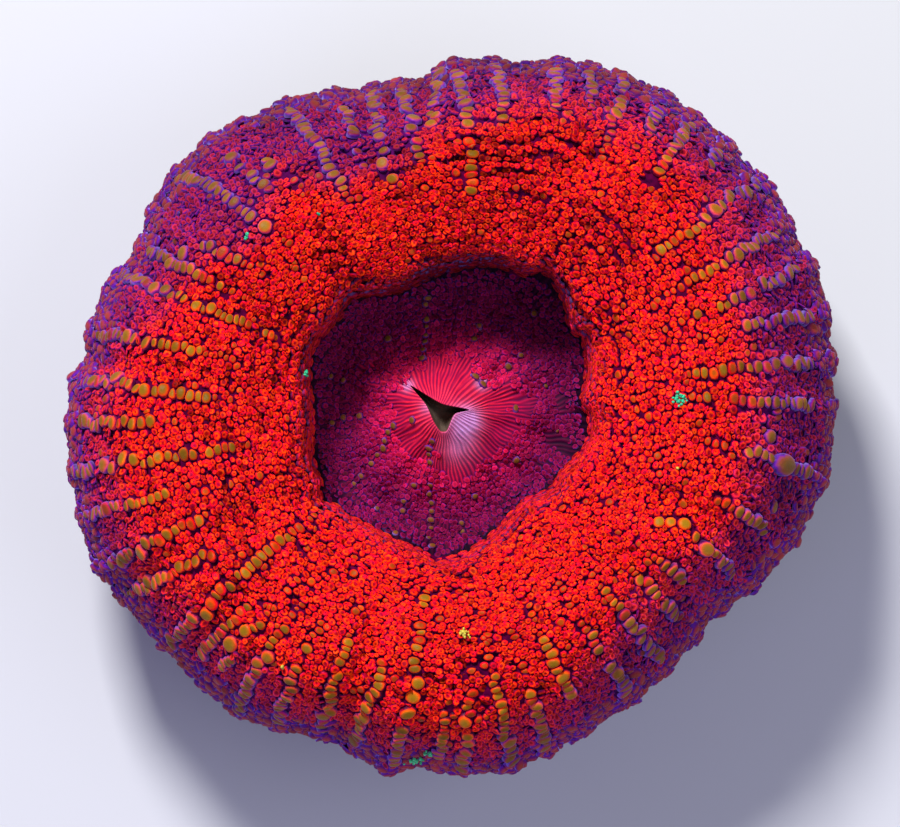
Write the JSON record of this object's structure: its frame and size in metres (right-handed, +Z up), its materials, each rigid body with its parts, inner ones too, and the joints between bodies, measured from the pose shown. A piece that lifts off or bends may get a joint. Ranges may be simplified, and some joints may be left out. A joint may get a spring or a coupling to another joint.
{
  "type": "scolymia coral",
  "caption": "Solitary fleshy stony coral, an inflated ring of warty flesh round a sunken oral disc with a slit mouth, on a short ribbed foot cut off flat.",
  "frame": {"origin": "middle of the outline at the level of the flat cut the coral rests on", "axes": "+Z up out of the oral disc, +X along the longer way across the coral, +Y away from the picture's lower edge"},
  "size_m": [0.062, 0.0582, 0.0269],
  "materials": {
    "flesh": "wet pebbled living tissue, red running to purple at the rim",
    "oral_disc": "wet fine-striped living tissue, dark magenta",
    "vesicle": "taut wet blisters, khaki olive",
    "skeleton": "matte ribbed limy skeleton, sawn flat below",
    "algae": "small matte tufts"
  },
  "bodies": {
    "root": {"coral": "flesh"}
  },
  "joints": []
}
